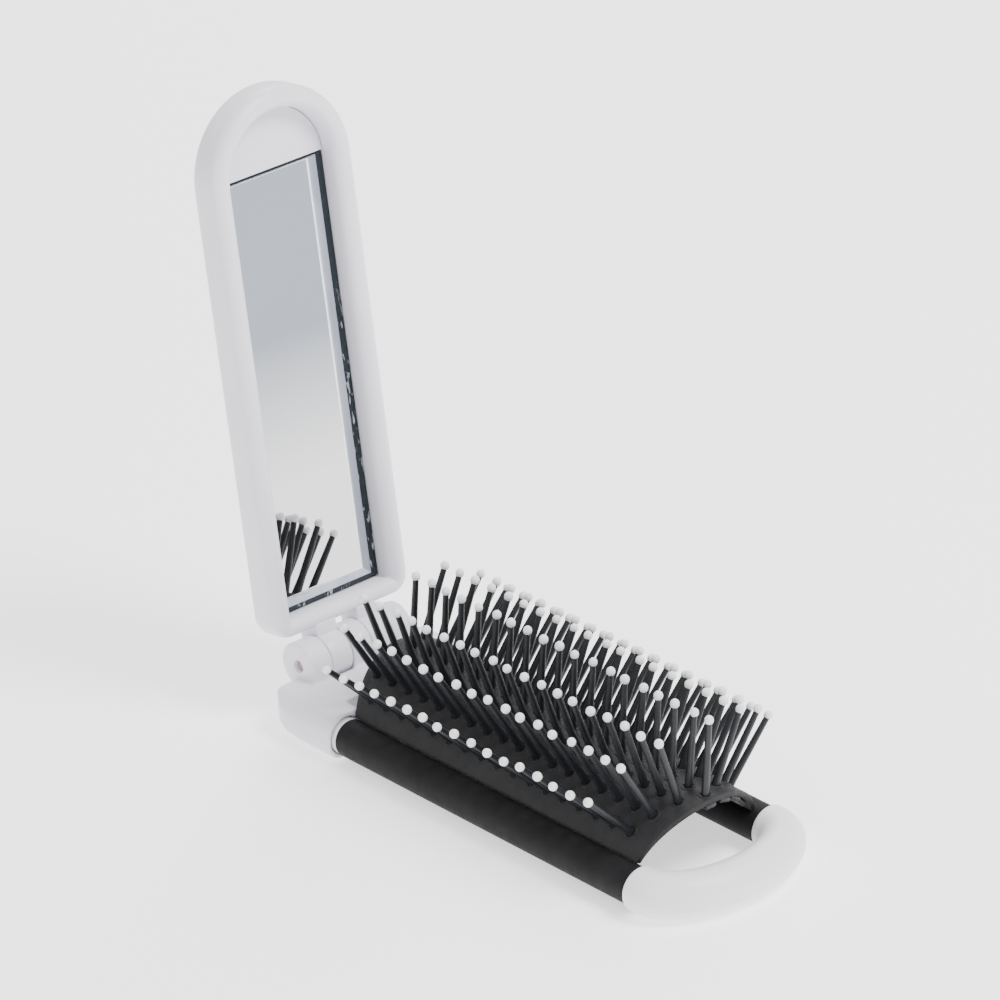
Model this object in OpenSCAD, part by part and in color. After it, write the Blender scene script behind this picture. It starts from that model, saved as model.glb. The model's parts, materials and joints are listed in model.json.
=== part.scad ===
// Folding hairbrush with a mirror in its cover.
// Frame: +X runs along the brush from the hinge to the bow, +Z is up.
// The origin is the middle of the hinge block's flat underside, which is what the brush rests on.
// The cover is drawn standing open at open_angle; 0 would be closed over the bristles.

/* [Side rails and bow] */
// Distance between the centres of the two side rails
rail_spacing = 33.2; // [28:0.2:36]
// Length of the rails from the hinge block's face to where the bow starts to curve
rail_len = 85.4; // [66:0.2:110]
// Radius of the bow's round bar
bow_r = 4.6; // [4:0.1:5.6]
// Reach of the bow's centre line beyond the rails
bow_reach = 9.5; // [9.2:0.1:14]
// Radius of the two legs inside the sleeves
leg_r = 2.5; // [1.8:0.1:2.9]
// Outer radius of the black sleeves
sleeve_r = 3.9; // [3.3:0.1:4.1]
// Straight part of the fat bow before it bends
bow_stub = 1.6; // [0.5:0.1:6]

/* [Hinge block] */
// Width of the hinge block
block_w = 42.4; // [41.8:0.2:52]
// Distance from the origin to the block's front face
block_front = 6.6; // [5:0.1:8]
// Distance from the hinge axis back to the block's rear face
block_tail = 1.2; // [0.8:0.1:4]
// Height of the block's top
block_top = 9.2; // [9:0.1:9.6]
// Height of the underside at the block's rear, where it ramps up
block_ramp = 4.6; // [2:0.1:5]
// Rounding of the block's long edges at its rear
block_round = 2.2; // [1:0.1:2.2]
// How far the sleeves reach into the block's collars
collar_depth = 1.4; // [0.8:0.1:3]
// Depth of the leg sockets behind the collars
socket_depth = 8; // [5:0.5:9]
// How far the middle of the front face is set back behind the collars
block_scoop = 4.4; // [4:0.1:5]

/* [Hinge] */
// Distance of the hinge axis behind the origin
hinge_back = 12; // [11:0.1:16]
// Height of the hinge axis
hinge_height = 11.5; // [11.2:0.1:14]
// Outer radius of the knuckles
knuckle_r = 4.9; // [4:0.1:4.9]
// Width of each of the block's two outer ears
ear_w = 5; // [3:0.1:6]
// Width of each of the cover's two lugs
lug_w = 5.2; // [3:0.1:6]
// Width of the block's centre knuckle
centre_w = 4.8; // [3:0.1:6]
// Gap between neighbouring knuckles
knuckle_gap = 0.2; // [0.1:0.05:0.4]
// Radius of the hinge pin
pin_r = 1.25; // [0.9:0.05:1.6]
// How far the pin's ends lie below the ears' faces
pin_recess = 1; // [0.4:0.1:1.6]
// Radial clearance of the pin in the block's ears
ear_fit = 0.03; // [0.02:0.01:0.08]
// Radial clearance of the pin in the cover's lugs
lug_fit = 0.06; // [0.03:0.01:0.1]
// Angle of the standing cover from its closed place
open_angle = 97.5; // [90:0.5:120]

/* [Cover] */
// Width of the cover
cover_w = 34.6; // [33:0.2:40]
// Distance from the hinge axis to the cover's rounded far end
cover_len = 116; // [96:0.5:140]
// Distance from the hinge axis to the cover's bottom edge
cover_start = 6.2; // [6:0.1:8]
// Height of the rim's crest over the hinge axis, on the mirror side
crest = 0.75; // [0.4:0.05:1.2]
// Depth of the cover's back below the hinge axis
back_depth = 8; // [7.8:0.1:9]
// Half the width of the tray inside the rim
tray_half = 12.8; // [12:0.1:13]
// Wall of the cover's back
back_wall = 1.5; // [1.2:0.1:1.6]
// Thickness of the rim's bottom wall at the hinge
foot_wall = 3.4; // [2.6:0.1:4]
// Thickness of the panel that carries the mirror
plate_t = 1.7; // [1:0.1:1.8]
// Clearance round that panel
plate_fit = 0.1; // [0.05:0.05:0.2]

/* [Mirror] */
// Gap between the glass and the walls round it
mirror_gap = 0.2; // [0.1:0.05:1]
// Length of the mirror
mirror_len = 89.2; // [60:0.1:90]
// Thickness of the glass
glass_t = 1.2; // [1:0.1:1.4]
// Width of the bevel round the glass
bevel_w = 2.6; // [0.6:0.1:4]
// Depth of the bevel
bevel_t = 0.4; // [0.2:0.1:0.7]
// Thickness of the adhesive pad behind the glass
tape_t = 0.2; // [0.2:0.1:0.4]
// Depth of the glass's face below the hinge axis
mirror_depth = 3.3; // [3:0.1:3.6]

/* [Pad] */
// Outer radius of the pad's arch
arch_r = 16.9; // [16:0.1:19]
// Height of the arch's centre
arch_z = 1.4; // [0.8:0.1:2]
// Thickness of the pad
pad_t = 1.2; // [0.8:0.1:1.6]
// Half of the arch's angle, crown to foot
pad_half_angle = 65; // [60:0.5:66]
// Gap between the pad's middle and the hinge block's set-back face
pad_gap = 0.8; // [0.5:0.1:2]
// Space between the pad's middle and the bow's bar
pad_end_gap = 3.7; // [1.5:0.1:8]
// How much shorter the pad is at its feet than at its crown, at each end
pad_sweep = 4.6; // [4.4:0.1:6]
// Gap between the pad's feet and the sleeves
foot_gap = 0.3; // [0.2:0.05:0.4]

/* [Bristles] */
// Spacing of the pins along a row
pin_pitch = 4.64; // [4.2:0.02:6]
// Pins in the centre row
pin_count = 19; // [8:1:19]
// Angle between neighbouring rows round the arch
row_step = 16.2; // [15:0.1:17]
// Radius of a pin at its root
root_r = 0.75; // [0.5:0.05:0.8]
// Radius of a pin at its ball tip
point_r = 0.6; // [0.4:0.05:0.65]
// Length of a pin from the pad's surface to its ball's centre
pin_len = 15.2; // [12:0.1:16]
// Radius of the ball tips
ball_r = 1; // [0.8:0.05:1.05]
// Clearance round a pin in its hole
hole_fit = 0.25; // [0.15:0.05:0.35]
// Width of a comb strip
strip_w = 2.6; // [2:0.1:3]
// Thickness of a comb strip
strip_t = 1; // [0.8:0.1:1.4]
// Gap between the pad and the strips under it
strip_gap = 0.15; // [0.1:0.05:0.3]
// Length of a strip beyond its end pins
strip_end = 1.4; // [1:0.1:1.8]

/* [Hidden] */

// Lean of each row's pins from upright, near side to far side, in degrees
row_lean = [-46, -31, -19, 6, 25, 36, 43];
near = -1;
far = 1;
through = 1;               // overshoot of a cut, so that it leaves no skin
skin = 0.05;               // keeps the views that cut one shape from sharing a face
shell_white = [0.90, 0.89, 0.92];
rubber_black = [0.16, 0.16, 0.17];

rail_y = rail_spacing / 2;
rail_z = bow_r;            // the bow's bar touches the surface the brush rests on
hinge_x = -hinge_back;
sleeve_start = block_front - collar_depth;
curve_start = block_front + rail_len;
sleeve_end = curve_start - bow_stub;
bow_inside_x = curve_start + bow_reach - bow_r;

knuckles_half = centre_w / 2 + lug_w + ear_w + 2 * knuckle_gap;
lug_start = centre_w / 2 + knuckle_gap;
ear_start = lug_start + lug_w + knuckle_gap;
sweep_clear = knuckle_r + 0.3;   // room for a lug to turn in
lug_r = knuckle_r - 0.2;         // the lugs are a little smaller than the fixed knuckles

pad_start = block_front - block_scoop + pad_gap;
pad_end = bow_inside_x - pad_end_gap;
pad_foot_y = arch_r * sin(pad_half_angle);
pad_plan_r = (pow(pad_foot_y, 2) + pow(pad_sweep, 2)) / (2 * pad_sweep);
pin_land = 1.9;            // from the centre row's last pin to the pad's end
centre_last_x = pad_end - pin_land;

module along_y(length) {
    translate([0, length / 2, 0]) rotate([90, 0, 0]) linear_extrude(length) children();
}

module along_x(from, to) {
    translate([from, 0, 0]) rotate([90, 0, 90]) linear_extrude(to - from) children();
}

function edge_angle(from, to) = atan2(to[1] - from[1], to[0] - from[0]);

corner_steps = 4;          // straight steps round a corner

// A convex outline, listed anticlockwise, grown by r with round corners
function grown(points, r) = [
    for (i = [0:len(points) - 1])
        let (
            here = points[i],
            before = points[(i + len(points) - 1) % len(points)],
            after = points[(i + 1) % len(points)],
            start = edge_angle(before, here) - 90,
            turn = (edge_angle(here, after) - 90 - start + 720) % 360
        )
        for (step = [0:corner_steps])
            let (angle = start + turn * step / corner_steps)
            here + r * [cos(angle), sin(angle)]
];

module rounded(points, r) {
    polygon(grown(points, r));
}

// ---- bow, legs and sleeves ----

bow_steps = 24;            // rings round the curve
bow_sides = 24;            // sides of the round bar

// Centre line: straight out of one sleeve, round half an ellipse, straight into the other
function bow_centre(angle) = [curve_start + bow_reach * cos(angle), rail_y * sin(angle), rail_z];
function bow_heading(angle) =
    let (tangent = [-bow_reach * sin(angle), rail_y * cos(angle), 0]) tangent / norm(tangent);
bow_angles = [for (i = [0:bow_steps]) -90 + 180 * i / bow_steps];
bow_path = concat(
    [[sleeve_end, -rail_y, rail_z]],
    [for (angle = bow_angles) bow_centre(angle)],
    [[sleeve_end, rail_y, rail_z]]
);
bow_headings = concat(
    [[1, 0, 0]],
    [for (angle = bow_angles) bow_heading(angle)],
    [[-1, 0, 0]]
);

function ring(centre, heading, r, sides) = [
    for (i = [0:sides - 1])
        let (angle = 360 * i / sides, outward = cross(heading, [0, 0, 1]))
        centre + r * (cos(angle) * outward + sin(angle) * [0, 0, 1])
];

// A round bar along a path
module bar(path, headings, r, sides) {
    rings = len(path);
    polyhedron(
        points = [for (i = [0:rings - 1]) each ring(path[i], headings[i], r, sides)],
        faces = concat(
            [[for (j = [0:sides - 1]) sides - 1 - j]],
            [[for (j = [0:sides - 1]) (rings - 1) * sides + j]],
            [for (i = [0:rings - 2], j = [0:sides - 1])
                let (k = (j + 1) % sides)
                [i * sides + k, (i + 1) * sides + k, (i + 1) * sides + j, i * sides + j]]
        )
    );
}

module bow_frame() {
    color(shell_white) {
        bar(bow_path, bow_headings, bow_r, bow_sides);
        for (side = [near, far])
            translate([sleeve_start - socket_depth, side * rail_y, rail_z]) rotate([0, 90, 0])
                cylinder(r = leg_r - leg_fit, h = sleeve_end - sleeve_start + socket_depth + through, $fn = 48);
    }
}

leg_fit = 0.02;            // clearance of the legs in the block's sockets
sleeve_fit = 0.1;          // clearance of the sleeves on the legs
collar_fit = 0.15;         // clearance of the sleeves in the collars

module grip_sleeve(side) {
    color(rubber_black)
        translate([sleeve_start, side * rail_y, rail_z]) rotate([0, 90, 0])
        difference() {
            cylinder(r = sleeve_r, h = sleeve_end - sleeve_start, $fn = 64);
            translate([0, 0, -through])
                cylinder(r = leg_r + sleeve_fit, h = sleeve_end - sleeve_start + 2 * through, $fn = 48);
        }
}

// ---- hinge block ----

block_rear_x = hinge_x - block_tail;

lip_round = 0.6;           // rounding of the collars' lips
shoulder_round = 3.8;      // rounding of the block's ends, round the sleeves
rear_round = 7;            // rounding of the rear corners, seen from above

// Rounded at the rear, and cut to small lips at the front
module block_side_view() {
    r = block_round;
    lip = lip_round;
    intersection() {
        rounded([
            [block_rear_x + r, block_ramp + r],
            [block_rear_x / 3 + r, r],
            [block_front + r, r],
            [block_front + r, block_top - r],
            [block_rear_x + r, block_top - r]
        ], r);
        rounded([
            [block_rear_x - r, lip - skin],
            [block_front - lip, lip - skin],
            [block_front - lip, block_top - lip + skin],
            [block_rear_x - r, block_top - lip + skin]
        ], lip);
    }
}

module block_end_view() {
    r = shoulder_round;
    y = block_w / 2 - r;
    rounded([[-y, r - skin], [y, r - skin], [y, block_top - r + skin], [-y, block_top - r + skin]], r);
}

module block_plan() {
    r = rear_round;
    y = block_w / 2 - r + skin;
    rounded([
        [block_rear_x + r - skin, -y],
        [block_front + r, -y],
        [block_front + r, y],
        [block_rear_x + r - skin, y]
    ], r);
}

module knuckle(from, to, radius) {
    translate([hinge_x, from, hinge_height]) rotate([-90, 0, 0])
        cylinder(r = radius, h = to - from, $fn = 64);
}

web_inset = 0.6;           // step from the block's rear face to a knuckle's web
web_root = 3;              // how deep a web is rooted below the block's top

// A fixed knuckle with the web that carries it down into the block
module ear(from, to) {
    knuckle(from, to, knuckle_r);
    translate([hinge_x - block_tail + web_inset, from, block_top - web_root])
        cube([block_tail - web_inset + knuckle_r, to - from, hinge_height - block_top + web_root]);
}

module hinge_block() {
    color(shell_white)
        difference() {
            union() {
                intersection() {
                    along_y(block_w + 2 * through) block_side_view();
                    along_x(block_rear_x - through, block_front + through) block_end_view();
                    translate([0, 0, -through]) linear_extrude(block_top + 2 * through) block_plan();
                }
                ear(-knuckles_half, -ear_start);
                ear(ear_start, knuckles_half);
                ear(-centre_w / 2, centre_w / 2);
            }
            for (side = [near, far]) {
                from = side > 0 ? lug_start - knuckle_gap : -ear_start;
                knuckle(from, from + lug_w + 2 * knuckle_gap, sweep_clear);
                translate([hinge_x - sweep_clear - through, from, hinge_height - sweep_clear])
                    cube([sweep_clear + through, lug_w + 2 * knuckle_gap, 2 * sweep_clear]);
                translate([sleeve_start, side * rail_y, rail_z]) rotate([0, 90, 0])
                    cylinder(r = sleeve_r + collar_fit, h = collar_depth + through, $fn = 64);
                translate([sleeve_start - socket_depth, side * rail_y, rail_z]) rotate([0, 90, 0])
                    cylinder(r = leg_r, h = socket_depth + through, $fn = 48);
            }
            scoop_half = rail_y - sleeve_r;
            translate([block_front - block_scoop, -scoop_half, -through])
                cube([block_scoop + through, 2 * scoop_half, block_top + 2 * through]);
            knuckle(-knuckles_half - through, knuckles_half + through, pin_r + ear_fit);
        }
}

module hinge_pin() {
    color([0.72, 0.66, 0.68])
        knuckle(-knuckles_half + pin_recess, knuckles_half - pin_recess, pin_r);
}

// ---- cover, drawn closed with the hinge axis at the origin, then stood up ----

module stand_open() {
    translate([hinge_x, 0, hinge_height]) rotate([0, -open_angle, 0]) children();
}

cover_half = cover_w / 2;
round_x = cover_len - cover_half;   // centre of the rounded end
back_r = 3;                         // rounding of the back's edge
foot_r = 1.5;                       // rounding of the bottom wall's edges
foot_drop = 0.2;                    // step between the foot wall's faces and the rim's
plate_top = mirror_depth + glass_t + tape_t;
plate_bottom = plate_top + plate_t;

function arc(centre, r, from, to, steps) = [
    for (i = [0:steps]) let (angle = from + (to - from) * i / steps) centre + r * [cos(angle), sin(angle)]
];

// Half of the cover across: a half-round rim, its outer wall, and the back up to the middle.
// The closed cover's mirror looks down, so its depths below the axis are heights here.
rim_half = (cover_half - tray_half) / 2;
half_section = concat(
    arc([tray_half + rim_half, rim_half - crest], rim_half, 180, 360, 10),
    arc([cover_half - back_r, back_depth - back_r], back_r, 0, 90, 5),
    [[0, back_depth], [0, back_depth - back_wall], [tray_half, back_depth - back_wall]]
);

// Outline that rounds the corners beside the hinge
module cover_plan() {
    corner = 4;
    y = cover_half + skin - corner;
    rounded([
        [cover_start + corner, -y],
        [cover_len + corner, -y],
        [cover_len + corner, y],
        [cover_start + corner, y]
    ], corner);
}

module tray_plan(inset) {
    y = tray_half - inset;
    translate([round_x, 0]) circle(y, $fn = 96);
    translate([cover_start + foot_wall + inset, -y])
        square([round_x - cover_start - foot_wall - inset, 2 * y]);
}

module foot_profile() {
    r = foot_r;
    top = -crest + foot_drop + r;
    bottom = back_depth - foot_drop - r;
    rounded([
        [cover_start + r, top],
        [cover_start + foot_wall - r, top],
        [cover_start + foot_wall - r, bottom],
        [cover_start + r, bottom]
    ], r);
}

lug_bite = 1;              // how far a lug's neck runs into the bottom wall

module lug(from) {
    difference() {
        union() {
            translate([0, from, 0]) rotate([-90, 0, 0]) cylinder(r = lug_r, h = lug_w, $fn = 64);
            translate([0, from, -crest]) cube([cover_start + lug_bite, lug_w, crest + lug_r]);
        }
        translate([0, from - through, 0]) rotate([-90, 0, 0])
            cylinder(r = pin_r + lug_fit, h = lug_w + 2 * through, $fn = 48);
    }
}

relief_r = knuckle_r + 2;           // hollow in the foot over a fixed knuckle
relief_side = 0.6;

module cover_shell() {
    color(shell_white)
        stand_open() {
            difference() {
                intersection() {
                    union() {
                        translate([cover_start + foot_drop, 0, 0]) rotate([90, 0, 90])
                            linear_extrude(round_x - cover_start - foot_drop) {
                                polygon(half_section);
                                mirror([1, 0]) polygon(half_section);
                            }
                        translate([round_x, 0, 0]) rotate([0, 0, -90])
                            rotate_extrude(angle = 180, $fn = 128) polygon(half_section);
                        along_y(2 * (cover_half - back_r)) foot_profile();
                    }
                    translate([0, 0, -crest - through])
                        linear_extrude(crest + back_depth + 2 * through) cover_plan();
                }
                for (span = [[-knuckles_half, -ear_start], [-centre_w / 2, centre_w / 2], [ear_start, knuckles_half]])
                    translate([0, span[0] - relief_side, 0]) rotate([-90, 0, 0])
                        cylinder(r = relief_r, h = span[1] - span[0] + 2 * relief_side, $fn = 64);
            }
            lug(lug_start);
            lug(-lug_start - lug_w);
        }
}

mirror_start = cover_start + foot_wall + mirror_gap;
mirror_w = 2 * (tray_half - mirror_gap);
land_drop = 0.15;          // step from the glass's face down to the land beyond it

// The panel under the glass, with a raised land that fills the arch beyond it
module mirror_plate() {
    color(shell_white)
        stand_open() {
            translate([0, 0, plate_top]) linear_extrude(plate_t) tray_plan(plate_fit);
            translate([0, 0, mirror_depth + land_drop])
                linear_extrude(glass_t + tape_t - land_drop + through / 2)
                intersection() {
                    tray_plan(plate_fit + skin);
                    translate([mirror_start + mirror_len + mirror_gap, -tray_half])
                        square([cover_len, 2 * tray_half]);
                }
        }
}

module mirror_tape() {
    edge = 2;
    color([0.75, 0.75, 0.72])
        stand_open() translate([mirror_start + edge, -mirror_w / 2 + edge, mirror_depth + glass_t])
        cube([mirror_len - 2 * edge, mirror_w - 2 * edge, tape_t]);
}

// Glass with a bevel on the edges of its face
module mirror_glass() {
    color([0.78, 0.82, 0.85])
        stand_open() translate([mirror_start, -mirror_w / 2, mirror_depth])
        polyhedron(
            points = concat(
                [for (z = [bevel_t, glass_t], c = [[0, 0], [1, 0], [1, 1], [0, 1]])
                    [c[0] * mirror_len, c[1] * mirror_w, z]],
                [for (c = [[0, 0], [1, 0], [1, 1], [0, 1]])
                    [c[0] * mirror_len + (1 - 2 * c[0]) * bevel_w, c[1] * mirror_w + (1 - 2 * c[1]) * bevel_w, 0]]
            ),
            faces = concat(
                [[7, 6, 5, 4], [8, 9, 10, 11]],
                [for (i = [0:3]) [i, 4 + i, 4 + (i + 1) % 4, (i + 1) % 4]],
                [for (i = [0:3]) [8 + i, i, (i + 1) % 4, 8 + (i + 1) % 4]]
            )
        );
}

// ---- pad and bristles ----

function row_angle(row) = (row - 4) * row_step;
function row_pins(row) = pin_count - max(0, abs(row - 4) - 1);
function row_last_x(row) = centre_last_x - abs(row - 4) * pin_pitch / 2;
function row_first_x(row) = row_last_x(row) - (row_pins(row) - 1) * pin_pitch;

// Runs its child with +Z along a row's pins and the origin where they leave the pad
module at_row(row, x) {
    angle = row_angle(row);
    translate([x, arch_r * sin(angle), arch_z + arch_r * cos(angle)])
        rotate([-row_lean[row - 1], 0, 0]) children();
}

module each_pin(row) {
    for (i = [0:row_pins(row) - 1])
        at_row(row, row_first_x(row) + i * pin_pitch) children();
}

root_depth = pad_t + strip_gap + 0.5 * strip_t;

module pin() {
    translate([0, 0, -root_depth])
        cylinder(r1 = root_r, r2 = point_r, h = root_depth + pin_len, $fn = 24);
}

module bristle_row(row) {
    color(rubber_black) {
        translate([row_first_x(row) - strip_end, 0, arch_z]) rotate([-row_angle(row), 0, 0])
            translate([0, -strip_w / 2, arch_r - pad_t - strip_gap - strip_t])
            cube([row_last_x(row) - row_first_x(row) + 2 * strip_end, strip_w, strip_t]);
        each_pin(row) pin();
    }
}

module tip_row(row) {
    color([0.93, 0.93, 0.93])
        each_pin(row) difference() {
            translate([0, 0, pin_len]) sphere(r = ball_r, $fn = 32);
            pin();
        }
}

// What is left over past the curved end of the pad, seen from above
module pad_trim(end, side) {
    difference() {
        translate([side > 0 ? end - pad_sweep - 1 : end - 1, -arch_r - 1])
            square([pad_sweep + 2, 2 * arch_r + 2]);
        translate([end - side * pad_plan_r, 0]) circle(pad_plan_r, $fn = 160);
    }
}

module pad_section() {
    foot_z = arch_r * cos(pad_half_angle);
    intersection() {
        difference() {
            circle(arch_r, $fn = 160);
            circle(arch_r - pad_t, $fn = 160);
        }
        polygon([
            [0, 0], [2 * pad_foot_y, 2 * foot_z], [2 * pad_foot_y, 2 * arch_r],
            [-2 * pad_foot_y, 2 * arch_r], [-2 * pad_foot_y, 2 * foot_z]
        ]);
    }
}

module bristle_pad() {
    color(rubber_black)
        difference() {
            translate([0, 0, arch_z]) along_x(pad_start - skin, pad_end + skin) pad_section();
            linear_extrude(arch_z + arch_r + through) {
                pad_trim(pad_start, -1);
                pad_trim(pad_end, 1);
            }
            for (side = [near, far])
                translate([pad_start - through, side * rail_y, rail_z]) rotate([0, 90, 0])
                    cylinder(r = sleeve_r + foot_gap, h = pad_end - pad_start + 2 * through, $fn = 64);
            for (row = [1:7]) each_pin(row)
                translate([0, 0, -2 * pad_t]) cylinder(r = root_r + hole_fit, h = 4 * pad_t, $fn = 24);
        }
}

cover_shell();
mirror_plate();
mirror_tape();
mirror_glass();
hinge_block();
hinge_pin();
bow_frame();
grip_sleeve(near);  // grip_sleeve_near
grip_sleeve(far);  // grip_sleeve_far
bristle_pad();
for (row = [1:7])
    bristle_row(row);
for (row = [1:7])
    tip_row(row);
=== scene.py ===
import bpy, bmesh, json, math, random
from mathutils import Matrix, Vector


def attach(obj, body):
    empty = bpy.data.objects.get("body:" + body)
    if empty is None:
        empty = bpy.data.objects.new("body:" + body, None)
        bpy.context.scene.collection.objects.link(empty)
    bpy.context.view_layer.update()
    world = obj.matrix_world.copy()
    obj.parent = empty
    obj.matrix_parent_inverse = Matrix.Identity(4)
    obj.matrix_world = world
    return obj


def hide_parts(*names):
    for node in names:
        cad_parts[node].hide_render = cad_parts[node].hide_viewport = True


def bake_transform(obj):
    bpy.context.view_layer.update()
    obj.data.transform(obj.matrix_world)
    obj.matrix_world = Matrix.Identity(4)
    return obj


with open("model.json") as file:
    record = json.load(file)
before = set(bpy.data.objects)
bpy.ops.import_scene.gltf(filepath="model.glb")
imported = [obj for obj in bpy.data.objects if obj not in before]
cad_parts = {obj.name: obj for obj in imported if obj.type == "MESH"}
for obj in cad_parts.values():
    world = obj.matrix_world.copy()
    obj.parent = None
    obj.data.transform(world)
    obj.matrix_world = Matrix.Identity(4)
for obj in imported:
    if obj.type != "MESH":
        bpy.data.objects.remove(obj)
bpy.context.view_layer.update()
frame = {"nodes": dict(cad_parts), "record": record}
nodes = frame["nodes"]

# Sizes are in millimetres until a piece is finished
MM = 0.001
NEAR, FAR = -1, 1


# ---- materials ----

class Finish:
    """A material's nodes, laid out by what they do."""

    def __init__(self, name, colour, roughness, **sockets):
        self.material = bpy.data.materials.new(name)
        self.material.use_nodes = True
        self.tree = self.material.node_tree
        self.shader = self.tree.nodes["Principled BSDF"]
        self.shader.inputs["Base Color"].default_value = (*colour, 1)
        self.shader.inputs["Roughness"].default_value = roughness
        for socket, value in sockets.items():
            self.shader.inputs[socket.replace("_", " ")].default_value = value
        self.place = self.add("ShaderNodeTexCoord").outputs["Object"]

    def add(self, kind, **settings):
        node = self.tree.nodes.new(kind)
        for key, value in settings.items():
            setattr(node, key, value)
        return node

    def link(self, a, b):
        self.tree.links.new(a, b)

    def noise(self, size, detail=3.0, rough=0.5, stretch=(1, 1, 1)):
        """Noise with features of about size millimetres."""
        place = self.add("ShaderNodeMapping")
        place.inputs["Scale"].default_value = stretch
        self.link(self.place, place.inputs["Vector"])
        node = self.add("ShaderNodeTexNoise")
        node.inputs["Scale"].default_value = 1 / (size * MM)
        node.inputs["Detail"].default_value = detail
        node.inputs["Roughness"].default_value = rough
        self.link(place.outputs["Vector"], node.inputs["Vector"])
        return node.outputs["Fac"]

    def height(self, low, high):
        """0 to 1 between two heights of the object, in millimetres."""
        split = self.add("ShaderNodeSeparateXYZ")
        self.link(self.place, split.inputs["Vector"])
        return self.spread(split.outputs["Z"], 0, 1, low * MM, high * MM)

    def spread(self, value, low, high, lo_in=0.3, hi_in=0.7):
        node = self.add("ShaderNodeMapRange")
        for name, number in (("From Min", lo_in), ("From Max", hi_in), ("To Min", low), ("To Max", high)):
            node.inputs[name].default_value = number
        self.link(value, node.inputs["Value"])
        return node.outputs["Result"]

    def tint(self, value, dark, light):
        """Base colour that drifts between two tones."""
        node = self.add("ShaderNodeMix", data_type="RGBA")
        node.inputs["A"].default_value = (*dark, 1)
        node.inputs["B"].default_value = (*light, 1)
        self.link(value, node.inputs["Factor"])
        self.link(node.outputs["Result"], self.shader.inputs["Base Color"])

    def wear(self, value, low, high):
        self.link(self.spread(value, low, high), self.shader.inputs["Roughness"])

    def relief(self, *layers):
        """Bumps, each given as noise and height in millimetres."""
        before = None
        for value, height in layers:
            node = self.add("ShaderNodeBump")
            node.inputs["Distance"].default_value = height * MM
            self.link(value, node.inputs["Height"])
            if before is not None:
                self.link(before, node.inputs["Normal"])
            before = node.outputs["Normal"]
        self.link(before, self.shader.inputs["Normal"])


def cover_plastic():
    f = Finish("Lilac white plastic", (0.72, 0.705, 0.77), 0.36, Specular_IOR_Level=0.45)
    f.tint(f.spread(f.noise(14, 2), 0, 1), (0.76, 0.745, 0.815), (0.795, 0.78, 0.84))
    f.wear(f.noise(5, 4), 0.32, 0.42)
    f.relief((f.noise(6, 1), 0.02), (f.noise(0.25, 2), 0.002))
    return f.material


def bow_plastic():
    f = Finish("Bow plastic", (0.80, 0.795, 0.815), 0.42, Specular_IOR_Level=0.42)
    f.tint(f.spread(f.noise(14, 2), 0, 1), (0.855, 0.845, 0.875), (0.88, 0.875, 0.89))
    f.wear(f.noise(5, 4), 0.38, 0.48)
    f.relief((f.noise(6, 1), 0.015), (f.noise(0.25, 2), 0.002))
    return f.material


def grip_rubber():
    f = Finish("Grip rubber", (0.016, 0.016, 0.017), 0.6, Specular_IOR_Level=0.12)
    f.tint(f.spread(f.noise(9, 5, 0.6), 0, 1), (0.009, 0.009, 0.010), (0.014, 0.014, 0.015))
    f.wear(f.noise(2.5, 5, 0.6), 0.52, 0.66)
    f.relief((f.noise(0.35, 3), 0.006))
    return f.material


def pad_rubber():
    f = Finish("Pad rubber", (0.02, 0.02, 0.022), 0.62, Specular_IOR_Level=0.3)
    f.tint(f.spread(f.noise(7, 5, 0.6), 0, 1), (0.010, 0.010, 0.011), (0.016, 0.016, 0.0175))
    f.wear(f.noise(2, 5, 0.6), 0.5, 0.64)
    f.relief((f.noise(0.3, 3), 0.006))
    return f.material


def pin_nylon():
    f = Finish("Pin nylon", (0.010, 0.012, 0.014), 0.36, Specular_IOR_Level=0.4)
    f.tint(f.spread(f.noise(9, 2), 0, 1), (0.008, 0.009, 0.011), (0.012, 0.014, 0.017))
    f.wear(f.noise(9, 2), 0.33, 0.4)
    return f.material


def ball_enamel():
    f = Finish("Ball enamel", (0.78, 0.78, 0.79), 0.24, Specular_IOR_Level=0.5)
    f.tint(f.spread(f.noise(1.6, 2), 0, 1), (0.84, 0.84, 0.85), (0.88, 0.88, 0.88))
    f.wear(f.noise(0.8, 3), 0.2, 0.32)
    f.relief((f.noise(0.9, 2), 0.01))
    return f.material


def painted_reflection_glass():
    """The mirror's face, with a painted reflection: paler low down, where it would show the bright table."""
    f = Finish("Silvered glass", (0.7, 0.72, 0.75), 0.012, Metallic=1.0)
    # Painted reflection: the base colour runs from pale low down to dark higher up.
    f.tint(f.height(46, 76), (0.62, 0.622, 0.625), (0.225, 0.243, 0.277))
    f.wear(f.noise(12, 2), 0.008, 0.016)
    return f.material


def bevelled_glass():
    f = Finish("Bevelled glass", (0.62, 0.68, 0.74), 0.05, Metallic=1.0)
    f.tint(f.spread(f.noise(6, 3, 0.6, (1, 1, 0.25)), 0, 1), (0.52, 0.585, 0.65), (0.7, 0.74, 0.79))
    f.wear(f.noise(4, 3), 0.03, 0.1)
    f.relief((f.noise(3, 2, 0.5, (1, 1, 0.2)), 0.01))
    return f.material


def glass_edge_painted_shade():
    """Painted shade: the dark rim of the glass, laid where the gap at the rim wall lies in shadow, flecked
    lower down.
    """
    f = Finish("Glass edge painted shade", (0.01, 0.018, 0.022), 0.14, Specular_IOR_Level=0.4)
    fleck = f.spread(f.noise(1.1, 2, 0.6, (1, 1, 0.35)), 0, 1, 0.58, 0.66)
    low = f.height(84, 70)
    both = f.add("ShaderNodeMath", operation="MULTIPLY")
    f.link(fleck, both.inputs[0])
    f.link(low, both.inputs[1])
    # Painted shade: a near-black base colour for the dark rim, with paler flecks lower down.
    f.tint(both.outputs["Value"], (0.006, 0.012, 0.016), (0.30, 0.34, 0.35))
    f.wear(f.noise(2, 4), 0.08, 0.22)
    f.relief((f.noise(1.4, 3, 0.5, (1, 1, 0.3)), 0.02))
    return f.material


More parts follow.
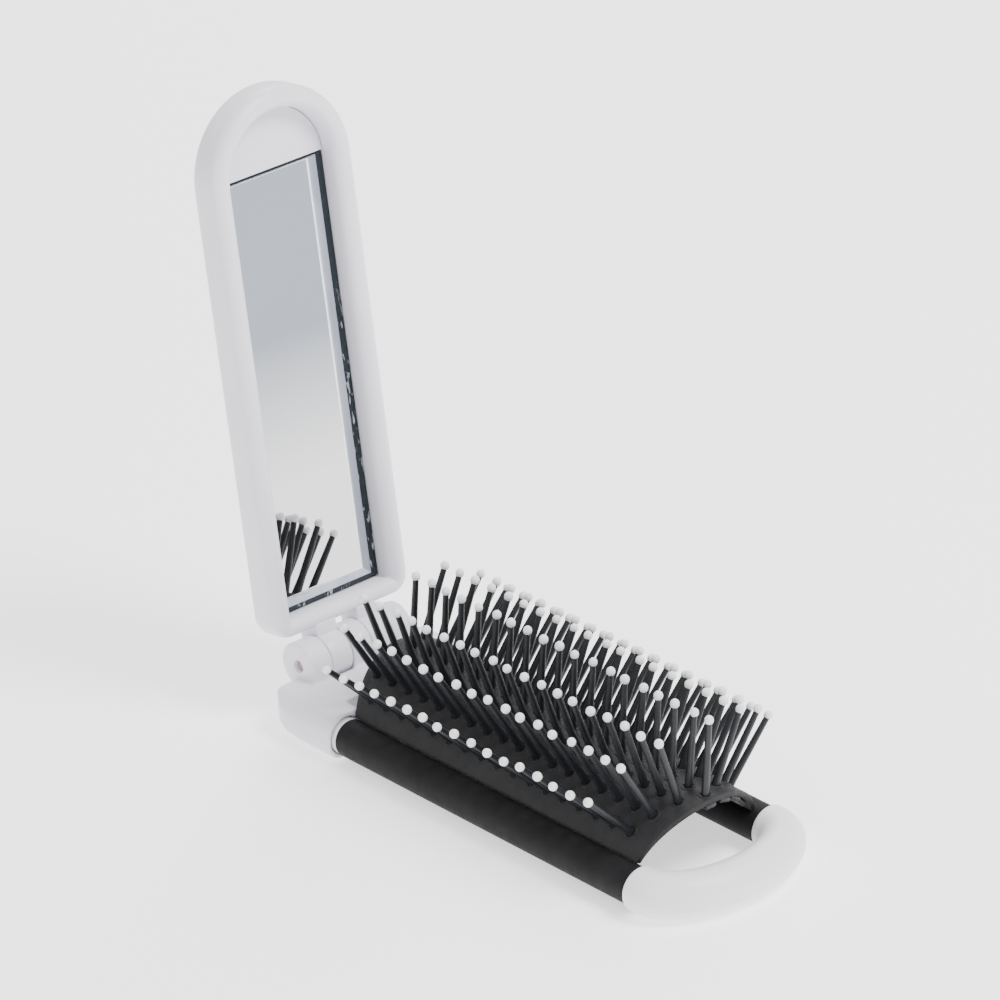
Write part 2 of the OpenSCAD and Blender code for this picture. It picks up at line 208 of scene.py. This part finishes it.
def painted_glint():
    """Painted highlight: the bright line along the bevel's inner edge."""
    f = Finish("Bevel painted highlight", (0.9, 0.92, 0.94), 0.2, Metallic=0.6)
    f.tint(f.spread(f.noise(4, 3, 0.6, (1, 1, 0.3)), 0, 1), (0.82, 0.85, 0.88), (0.95, 0.96, 0.97))
    f.wear(f.noise(2, 3), 0.15, 0.3)
    f.relief((f.noise(1.5, 2), 0.004))
    return f.material


def pin_steel():
    f = Finish("Pin steel", (0.55, 0.46, 0.48), 0.35, Metallic=0.6)
    f.tint(f.spread(f.noise(1.2, 3), 0, 1), (0.42, 0.34, 0.37), (0.56, 0.47, 0.5))
    f.wear(f.noise(0.7, 4), 0.28, 0.45)
    f.relief((f.noise(0.4, 3, 0.5, (1, 0.1, 1)), 0.01))
    return f.material


def foam_tape():
    f = Finish("Foam tape", (0.7, 0.7, 0.67), 0.85)
    f.tint(f.spread(f.noise(1.2, 4), 0, 1), (0.6, 0.6, 0.57), (0.74, 0.74, 0.7))
    f.wear(f.noise(0.8, 4), 0.8, 0.95)
    f.relief((f.noise(0.4, 4), 0.05))
    return f.material


finishes = {
    "shell_white": cover_plastic(), "rubber_black": grip_rubber(), "pad_black": pad_rubber(),
    "pin_black": pin_nylon(), "tip_white": ball_enamel(), "mirror_face": painted_reflection_glass(),
    "pin_steel": pin_steel(), "tape_white": foam_tape(), "bow": bow_plastic(),
    "bevel": bevelled_glass(), "glass_edge_painted_shade": glass_edge_painted_shade(), "painted_glint": painted_glint(),
}

for part in frame["record"]["subparts"]:
    o = nodes[part["node"]]
    o.data.materials.clear()
    o.data.materials.append(finishes[part["material_slot"]])


# ---- what every piece is made with ----

CREASE = math.radians(42)      # sharper edges than this stay crisp


def finish_piece(name, bm, body, materials, replaced, turn=None):
    """Turns a bmesh in millimetres into an object that rides on a body."""
    bmesh.ops.remove_doubles(bm, verts=bm.verts, dist=0.004)
    bmesh.ops.recalc_face_normals(bm, faces=bm.faces)
    if turn is not None:
        bmesh.ops.transform(bm, matrix=turn, verts=bm.verts)
    bmesh.ops.scale(bm, vec=(MM, MM, MM), verts=bm.verts)
    mesh = bpy.data.meshes.new(name)
    bm.to_mesh(mesh)
    bm.free()
    return finish_mesh(name, mesh, body, materials, replaced)


def finish_mesh(name, mesh, body, materials, replaced):
    for material in materials:
        mesh.materials.append(finishes[material])
    mesh.polygons.foreach_set("use_smooth", [True] * len(mesh.polygons))
    mesh.set_sharp_from_angle(angle=CREASE)
    o = bpy.data.objects.new(name, mesh)
    bpy.context.scene.collection.objects.link(o)
    if body:
        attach(o, body)
    if replaced:
        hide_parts(*replaced)
    return o


def station(centre, heading, side=(0, 0, 1)):
    """A place on a path, with +Z along the path."""
    z = Vector(heading).normalized()
    x = Vector(side).cross(z).normalized()
    turn = Matrix((x, z.cross(x), z)).transposed().to_4x4()
    return Matrix.Translation(centre) @ turn


def hoop(bm, r, place, sides):
    made = bmesh.ops.create_circle(bm, segments=sides, radius=r, matrix=place)["verts"]
    return list({e for v in made for e in v.link_edges})


def skin(bm, loops, capped=True):
    """Bridges a row of edge loops, and closes its two ends."""
    faces = []
    for before, after in zip(loops, loops[1:]):
        faces += bmesh.ops.bridge_loops(bm, edges=before + after)["faces"]
    if capped:
        for end in (loops[0], loops[-1]):
            bmesh.ops.edgeloop_fill(bm, edges=end)
    return faces


STOREY = 60.0                  # spacing of a tower's outlines while they are bridged


def tower(bm, draw, levels, place=None):
    """Skins outlines far apart, then brings each one to its own height."""
    floors = [draw(bm, i * STOREY, *shape) for i, (height, *shape) in enumerate(levels)]
    rings = [{v for e in edges for v in e.verts} for edges in floors]
    faces = skin(bm, floors)
    for ring, (height, *shape) in zip(rings, levels):
        for v in ring:
            v.co.z = height
    if place is not None:
        bmesh.ops.transform(bm, matrix=place, verts=[v for ring in rings for v in ring])
    return faces


def bar(bm, path, sides):
    """A round bar through (centre, heading, radius) stations."""
    return skin(bm, [hoop(bm, r, station(c, h), sides) for c, h, r in path])


def post(bm, place, stops, sides):
    """A round post through (height, radius) stops, drawn out ring by ring so that it never twists."""
    ring = hoop(bm, 1.0, Matrix(), sides)
    ends = [ring]
    for i, (height, r) in enumerate(stops):
        if i:
            drawn = bmesh.ops.extrude_edge_only(bm, edges=ring)["geom"]
            ring = [e for e in drawn if isinstance(e, bmesh.types.BMEdge) and not e.is_manifold
                    and all(v in drawn for v in e.verts)]
            ends.append(ring)
        for v in {v for e in ring for v in e.verts}:
            flat = Vector((v.co.x, v.co.y, 0)).normalized() * r
            v.co = (flat.x, flat.y, height)
    for end in (ends[0], ends[-1]):
        bmesh.ops.edgeloop_fill(bm, edges=end)
    made = {v for e in ends for edge in e for v in edge.verts}
    bmesh.ops.transform(bm, matrix=place, verts=list(made))


def eased(start, end, r, edge, steps=4):
    """Distances and radii of a bar from start to end, with its rims rounded by edge."""
    turn = [math.radians(90 * i / steps) for i in range(steps + 1)]
    rise = [(start + edge * (1 - math.cos(a)), r - edge * (1 - math.sin(a))) for a in turn]
    return rise + [(start + end - d, ring) for d, ring in reversed(rise)]


# ---- cover: modelled closed, then stood up on its hinge ----

COVER_LEN, COVER_HALF, COVER_START = 116, 17.3, 6.2
TRAY_HALF, FOOT_WALL = 12.8, 3.4
CREST, BACK_DEPTH, BACK_R = 0.75, 8.0, 3.0
CORNER_R = 4.2
LUG_START, LUG_END, LUG_R = 2.6, 7.8, 4.7
NECK_LONG, NECK_W = 7.2, 5.1           # the block that joins a lug to the cover's foot
NECK_SHY = 0.01                        # how much lower it is than the lug, so that no faces meet
HINGE = (-12, 0, 11.5)
STAND = Matrix.Translation(HINGE) @ Matrix.Rotation(math.radians(-97.5), 4, "Y")


def slab(bm, low, high, depth):
    """A flat face between two corners, at one depth."""
    size = (high[0] - low[0], high[1] - low[1], 1)
    middle = ((high[0] + low[0]) / 2, (high[1] + low[1]) / 2, depth)
    place = Matrix.Translation(middle) @ Matrix.Diagonal((*size, 1))
    made = bmesh.ops.create_grid(bm, x_segments=1, y_segments=1, size=0.5, matrix=place)["verts"]
    return made


def edges_of(verts):
    return list({e for v in verts for e in v.link_edges})


def open_loop(bm, verts):
    """Takes the face out of a flat outline and gives its edges."""
    faces = list({f for v in verts for f in v.link_faces})
    bmesh.ops.delete(bm, geom=faces, context="FACES_ONLY")
    return edges_of(verts)


def cover_outline(bm, height, inset):
    """The cover's outline drawn in by inset: square at the hinge, round at the far end."""
    half = COVER_HALF - inset
    foot = COVER_START + inset * FOOT_WALL / (COVER_HALF - TRAY_HALF)
    corner = max(CORNER_R - inset, 0.5)
    return arched(bm, height, foot, COVER_LEN - inset, half, corner)


def arched(bm, height, start, end, half, corner):
    """A flat outline with a half-round end and two rounded corners at its start."""
    made = slab(bm, (start, -half), (end, half), height)
    middle = (start + end) / 2
    outline = set()
    for group, r, steps in (
            ([v for v in made if v.co.x > middle], half - 0.001, 28),
            ([v for v in made if v.co.x < middle], corner, 8)):
        outline |= set(bmesh.ops.bevel(
            bm, geom=group, affect="VERTICES", offset=r, segments=steps, profile=0.5, material=-1,
            offset_type="OFFSET")["verts"])
    return open_loop(bm, [v for v in outline if v.is_valid])


def cover_levels():
    """Depths and insets from the back's edge over the rim to the tray's floor."""
    rim = (COVER_HALF - TRAY_HALF) / 2
    back = [(BACK_DEPTH - BACK_R * (1 - math.cos(a)), BACK_R * (1 - math.sin(a)))
            for a in (math.radians(15 * i) for i in range(7))]
    crest = [(rim - CREST - rim * math.sin(a), rim * (1 - math.cos(a)))
             for a in (math.radians(12 * i) for i in range(16))]
    return back + crest + [(3.0, 2 * rim), (6.5, 2 * rim)]


def cover_moulding():
    bm = bmesh.new()
    tower(bm, cover_outline, cover_levels())
    for side in (NEAR, FAR):
        start, end = sorted((side * LUG_START, side * LUG_END))
        bar(bm, [((0, y, 0), (0, 1, 0), r) for y, r in eased(start, end, LUG_R, 0.4)], 48)
        tall = LUG_R + CREST - NECK_SHY
        middle = (NECK_LONG / 2, side * (LUG_START + LUG_END) / 2, (LUG_R - CREST - NECK_SHY) / 2)
        place = Matrix.Translation(middle) @ Matrix.Diagonal((NECK_LONG, NECK_W, tall, 1))
        neck = bmesh.ops.create_cube(bm, size=1, matrix=place)
        bmesh.ops.bevel(
            bm, geom=edges_of(neck["verts"]), affect="EDGES",
            offset=0.35, segments=3, profile=0.5, material=-1)
    finish_piece("Cover_moulding", bm, "cover", ["shell_white"], ["cover_shell"], STAND)


# ---- mirror ----

GLASS_FACE, GLASS_T = 3.3, 1.2
GLASS_HALF = 12.6
GLASS_START, GLASS_END = 9.8, 99.0
SHADE_BAND, BEVEL = 1.7, 2.2         # width of the dark edge of painted shade, and of the bright bevel inside it
PAINTED_GLINT = 0.45                   # width of the painted highlight, a bright line between the bevel and the face
NEAR_BEVEL = 0.7               # the bevel on the near side, which the rim all but hides
FOOT_SHADE_BAND, FOOT_BEVEL = 1.1, 1.87      # the same dark edge of painted shade, and bevel, along the foot


PANEL_BACK, PANEL_FACE, PANEL_FIT = 6.4, 4.72, 0.1


def mirror_glass():
    """Glass with a dark edge of painted shade, a bevel on its far side and foot, a line of painted highlight,
    and a flat silvered face.
    """
    bm = bmesh.new()
    side = SHADE_BAND + BEVEL
    foot = FOOT_SHADE_BAND + FOOT_BEVEL

    def level(bm, height, near, far, lower, upper):
        low = (GLASS_START + lower, near - GLASS_HALF)
        high = (GLASS_END - upper, GLASS_HALF - far)
        return open_loop(bm, slab(bm, low, high, height))

    tower(bm, level, [
        (GLASS_FACE + GLASS_T, 0, 0, 0, 0),
        (GLASS_FACE + 0.55, 0, 0, 0, 0),
        (GLASS_FACE + 0.4, 0.35, SHADE_BAND, FOOT_SHADE_BAND, 0.25),
        (GLASS_FACE + 0.06, NEAR_BEVEL, side, foot, 0.35),
        (GLASS_FACE, NEAR_BEVEL + 0.1, side + PAINTED_GLINT, foot + PAINTED_GLINT, 0.45)])
    # Faces by depth: the silvered face, the bevel, the dark edge of painted shade and the line of painted
    # highlight.
    for f in bm.faces:
        depth = max(v.co.z for v in f.verts) - GLASS_FACE
        f.material_index = 0 if depth < 0.01 else 3 if depth < 0.1 else 1 if depth < 0.45 else 2
        if f.material_index in (1, 3) and f.calc_center_median().y < NEAR_BEVEL - GLASS_HALF + 0.1:
            f.material_index = 0
    o = finish_piece(
        "Mirror_glass_bevelled", bm, "cover", ["mirror_face", "bevel", "glass_edge_painted_shade", "painted_glint"],
        ["mirror_glass"], STAND)
    o.data.polygons.foreach_set("use_smooth", [False] * len(o.data.polygons))


def mirror_panel():
    """The tray's panel under the glass, and the land that fills its round end."""
    bm = bmesh.new()
    half, tray_end = TRAY_HALF - PANEL_FIT, COVER_LEN - COVER_HALF + TRAY_HALF - PANEL_FIT
    tower(bm, arched, [(height, GLASS_START, tray_end, half, 0.3) for height in (PANEL_BACK, PANEL_FACE)])
    land = GLASS_END + 0.3
    disc = Matrix.Translation((COVER_LEN - COVER_HALF, 0, 0))

    def raised(bm, height, inset):
        made = bmesh.ops.create_circle(
            bm, segments=96, radius=half - inset, matrix=disc @ Matrix.Translation((0, 0, height)))["verts"]
        return edges_of(made)

    round_land = bmesh.new()
    tower(round_land, raised, [(4.8, 0), (3.75, 0), (3.55, 0.06), (3.45, 0.25)])
    cut = bmesh.ops.bisect_plane(
        round_land, geom=list(round_land.verts) + list(round_land.edges) + list(round_land.faces),
        dist=0.0001, plane_co=(land, 0, 0), plane_no=(-1, 0, 0), clear_outer=True)["geom_cut"]
    bmesh.ops.contextual_create(round_land, geom=[e for e in cut if isinstance(e, bmesh.types.BMEdge)])
    whole = bpy.data.meshes.new("Land")
    round_land.to_mesh(whole)
    round_land.free()
    bm.from_mesh(whole)
    bpy.data.meshes.remove(whole)
    finish_piece("Mirror_panel", bm, "cover", ["shell_white"], ["mirror_plate"], STAND)


# ---- hinge block ----

def softened_copy(name, node, body, slot, voxel, passes):
    """A closed copy of a CAD part with its edges eased, as moulding leaves them."""
    bm = bmesh.new()
    bm.from_mesh(nodes[node].data)
    bmesh.ops.remove_doubles(bm, verts=bm.verts, dist=0.002 * MM)
    mesh = bpy.data.meshes.new("Casting")
    bm.to_mesh(mesh)
    bm.free()
    mesh.materials.clear()
    casting = bpy.data.objects.new("Casting", mesh)
    bpy.context.scene.collection.objects.link(casting)
    cut = casting.modifiers.new("Cut", "REMESH")
    cut.mode, cut.voxel_size = "VOXEL", voxel * MM
    ease = casting.modifiers.new("Ease", "SMOOTH")
    ease.factor, ease.iterations = 0.5, passes
    done = bpy.data.meshes.new_from_object(casting.evaluated_get(bpy.context.evaluated_depsgraph_get()))
    bpy.data.objects.remove(casting)
    bpy.data.meshes.remove(mesh)
    done.name = name
    done.materials.clear()
    return finish_mesh(name, done, body, [slot], [node])


# ---- frame: bow, sleeves ----

RAIL_Y, RAIL_Z = 16.6, 4.6
BOW_R, BOW_REACH, CURVE_START = 4.6, 9.5, 92.0
SLEEVE_R, SLEEVE_START, SLEEVE_END = 3.9, 7.2, 90.4
LEG_R, LEG_START = 2.5, -2.6


def bow_frame():
    """The white bow with a rounded shoulder at each sleeve, and its legs with a ring at the collars."""
    bm = bmesh.new()
    shoulder = [(SLEEVE_END - 0.6, 3.5), (SLEEVE_END - 0.02, 3.75)] + [
        (SLEEVE_END + 0.8 * (1 - math.cos(a)), 3.8 + 0.8 * math.sin(a))
        for a in (math.radians(18 * i) for i in range(6))]
    near = [((x, -RAIL_Y, RAIL_Z), (1, 0, 0), r) for x, r in shoulder]
    far = [((x, RAIL_Y, RAIL_Z), (-1, 0, 0), r) for x, r in reversed(shoulder)]
    curve = []
    for i in range(45):
        a = math.radians(-90 + 180 * i / 44)
        centre = (CURVE_START + BOW_REACH * math.cos(a), RAIL_Y * math.sin(a), RAIL_Z)
        curve.append((centre, (-BOW_REACH * math.sin(a), RAIL_Y * math.cos(a), 0), BOW_R))
    bar(bm, near + curve + far, 40)
    for side in (NEAR, FAR):
        ring = [(5.25, 2.4), (5.25, 3.6), (5.5, 3.75), (7.6, 3.75), (7.9, LEG_R)]
        stops = [(LEG_START, 2.4)] + ring + [(SLEEVE_END - 0.5, LEG_R)]
        leg = [((x, side * RAIL_Y, RAIL_Z), (1, 0, 0), r) for x, r in stops]
        bar(bm, leg, 36)
    finish_piece("Bow_moulding", bm, "base", ["bow"], ["bow_frame"])


def grip_sleeves():
    for side, name in ((NEAR, "near"), (FAR, "far")):
        bm = bmesh.new()
        ends = eased(SLEEVE_START, SLEEVE_END, SLEEVE_R, 0.7, 5)
        middle = [(x, SLEEVE_R) for x in range(12, 90, 6)]
        stops = ends[:6] + middle + ends[6:-5] + [(SLEEVE_END - 0.3, SLEEVE_R), (SLEEVE_END, SLEEVE_R - 0.12)]
        bar(bm, [((x, side * RAIL_Y, RAIL_Z), (1, 0, 0), r) for x, r in sorted(stops)], 44)
        finish_piece(
            f"Grip_sleeve_{name}", bm, "base", ["rubber_black"],
            [f"grip_sleeve_{name}"])


# ---- pad, pins and balls ----

ARCH_R, ARCH_Z, PAD_T, HALF_ANGLE = 16.9, 1.4, 1.2, 65
PAD_START, PAD_END, PAD_SWEEP = 3.0, 93.2, 4.6
PITCH, PIN_LEN, ROW_STEP, LAST_X = 4.64, 15.2, 16.2, 91.3
LEAN = {1: -46, 2: -31, 3: -19, 4: 6, 5: 25, 6: 36, 7: 43}
POINT_R, BALL_R = 0.6, 0.92
STRIP_W, STRIP_T = 2.6, 1.0
STRIP_END = 1.4                        # the strips' ends past the first pins
STRIP_INSET = {NEAR: 1.8, FAR: 0.2}    # how far they stop short of the pad's edge at the bow


def arch_place(angle, depth=0.0):
    """Y and Z of the pad's arch at an angle from its crown, in degrees."""
    a = math.radians(angle)
    r = ARCH_R - depth
    return r * math.sin(a), ARCH_Z + r * math.cos(a)


def pad_sweep(y):
    """How far the pad's curved ends are drawn in at a distance from its middle."""
    foot_y = ARCH_R * math.sin(math.radians(HALF_ANGLE))
    plan_r = (foot_y ** 2 + PAD_SWEEP ** 2) / (2 * PAD_SWEEP)
    return plan_r - math.sqrt(plan_r ** 2 - y * y)


def row_places(row):
    """X of a row's pins."""
    count = 19 - max(0, abs(row - 4) - 1)
    last = LAST_X - abs(row - 4) * PITCH / 2
    return [last - i * PITCH for i in reversed(range(count))]


def pin_frames(row):
    """The place of each pin where it leaves the pad, with +Z along the pin."""
    draw = random.Random(40 + row)
    y, z = arch_place((row - 4) * ROW_STEP)
    out = []
    for x in row_places(row):
        lean = LEAN[row] + draw.uniform(-1.1, 1.1)
        tilt = draw.uniform(-1.0, 1.4)
        turn = Matrix.Rotation(math.radians(-lean), 4, "X") @ Matrix.Rotation(math.radians(tilt), 4, "Y")
        out.append(Matrix.Translation((x, y, z)) @ turn)
    return out


def eyelet(bm, height, r):
    return hoop(bm, r, Matrix.Translation((0, 0, height)), 10)


def bristle_pad():
    """The arched rubber sheet, with a pressed lip round the root of every pin."""
    bm = bmesh.new()
    bmesh.ops.create_grid(bm, x_segments=64, y_segments=40, size=1)
    for v in bm.verts:
        y, z = arch_place(v.co.y * HALF_ANGLE)
        start, end = PAD_START + pad_sweep(y), PAD_END - pad_sweep(y)
        v.co = Vector((start + (end - start) * (v.co.x + 1) / 2, y, z))
    bmesh.ops.recalc_face_normals(bm, faces=bm.faces)
    bmesh.ops.solidify(bm, geom=list(bm.faces), thickness=PAD_T)
    rims = [e for e in bm.edges if e.calc_face_angle(0) > math.radians(60)]
    bmesh.ops.bevel(bm, geom=rims, affect="EDGES", offset=0.22, segments=2, profile=0.5, material=-1)
    for row in range(1, 8):
        for place in pin_frames(row):
            lip = Matrix.Translation(place.translation) @ Matrix.Rotation(
                math.radians(-(row - 4) * ROW_STEP), 4, "X") @ Matrix.Diagonal((1, 1.1, 1, 1))
            tower(bm, eyelet, [(-0.12, 1.5), (0.1, 1.35), (0.12, 1.1), (-0.3, 0.8)], lip)
    pad = finish_piece(
        "Bristle_pad_sheet", bm, None, ["pad_black"], ["bristle_pad"])
    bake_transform(pad)


def bristle_rows():
    """Each row's pins on the comb strip that backs them, and the balls on their tips."""
    for row in range(1, 8):
        angle = (row - 4) * ROW_STEP
        places, bm = pin_frames(row), bmesh.new()
        for place in places:
            post(bm, place, [(-1.7, 0.85), (0, 0.85), (1.2, 0.78), (7, 0.7), (PIN_LEN - 0.5, POINT_R)], 10)
        xs = row_places(row)
        outer_y = abs(arch_place(angle)[0]) + STRIP_W / 2
        start, end = xs[0] - STRIP_END, PAD_END - pad_sweep(outer_y) - STRIP_INSET[NEAR if row < 4 else FAR]
        y, z = arch_place(angle, PAD_T + 0.65)
        turn = Matrix.Rotation(math.radians(-angle), 4, "X")
        size = Matrix.Diagonal((end - start, STRIP_W, STRIP_T, 1))
        place = Matrix.Translation(((start + end) / 2, y, z)) @ turn @ size
        strip = bmesh.ops.create_cube(bm, size=1, matrix=place)
        bmesh.ops.bevel(
            bm, geom=edges_of(strip["verts"]), affect="EDGES",
            offset=0.25, segments=2, profile=0.5, material=-1)
        finish_piece(f"Pins_{row}", bm, f"row_{row}", ["pin_black"], [f"bristle_row_{row}"])

        bm = bmesh.new()
        draw = random.Random(90 + row)
        for place in places:
            size = BALL_R * draw.uniform(0.94, 1.04)
            drop = Matrix.Translation((0, 0, PIN_LEN)) @ Matrix.Diagonal((size, size, size * 1.06, 1))
            bmesh.ops.create_uvsphere(bm, u_segments=12, v_segments=7, radius=1, matrix=place @ drop)
        finish_piece(f"Balls_{row}", bm, f"row_{row}", ["tip_white"], [f"tip_row_{row}"])


cover_moulding()
mirror_glass()
mirror_panel()
softened_copy("Hinge_block_moulding", "hinge_block", "base", "shell_white", 0.3, 7)
bow_frame()
grip_sleeves()
bristle_pad()
bristle_rows()


# ---- floor, lights and camera ----

def studio():
    bm = bmesh.new()
    bmesh.ops.create_grid(bm, x_segments=1, y_segments=1, size=6)
    bmesh.ops.translate(bm, verts=bm.verts, vec=(0, 0, -0.00005))
    mesh = bpy.data.meshes.new("Floor")
    bm.to_mesh(mesh)
    bm.free()
    floor = bpy.data.objects.new("Floor", mesh)
    bpy.context.scene.collection.objects.link(floor)
    f = Finish("Floor paper", (0.95, 0.95, 0.95), 0.8, Specular_IOR_Level=0.05)
    f.tint(f.spread(f.noise(300, 2), 0, 1), (0.945, 0.945, 0.945), (0.955, 0.955, 0.955))
    f.shader.inputs["Emission Color"].default_value = (1, 1, 1, 1)
    f.shader.inputs["Emission Strength"].default_value = 1.0
    mesh.materials.append(f.material)

    world = bpy.data.worlds.new("Studio")
    world.use_nodes = True
    world.node_tree.nodes["Background"].inputs["Color"].default_value = (1, 1, 1, 1)
    world.node_tree.nodes["Background"].inputs["Strength"].default_value = 1.1
    bpy.context.scene.world = world

    def lamp(name, place, aim, size, power):
        light = bpy.data.lights.new(name, "AREA")
        light.shape = "DISK"
        light.size = size
        light.energy = power
        o = bpy.data.objects.new(name, light)
        o.location = place
        o.rotation_mode = "QUATERNION"
        o.rotation_quaternion = (Vector(aim) - Vector(place)).to_track_quat("-Z", "Y")
        bpy.context.scene.collection.objects.link(o)

    lamp("Key light", (0.55, 0.25, 0.95), (0.03, 0, 0.03), 0.5, 14)
    lamp("Back light", (-0.55, 0.5, 0.7), (0.03, 0, 0.03), 0.5, 5)


def camera():
    lens = bpy.data.cameras.new("Camera")
    lens.sensor_width = 36
    lens.lens = 248.76
    lens.clip_start, lens.clip_end = 0.05, 20
    o = bpy.data.objects.new("Camera", lens)
    right = Vector((0.664483, 0.746644, -0.031383))
    up = Vector((-0.315047, 0.317965, 0.894228))
    back = Vector((0.677649, -0.584312, 0.446510))
    turn = Matrix((right, up, back)).transposed().to_4x4()
    o.matrix_world = Matrix.Translation((0.92461, -0.76670, 0.64613)) @ turn
    bpy.context.scene.collection.objects.link(o)
    bpy.context.scene.camera = o


studio()
camera()
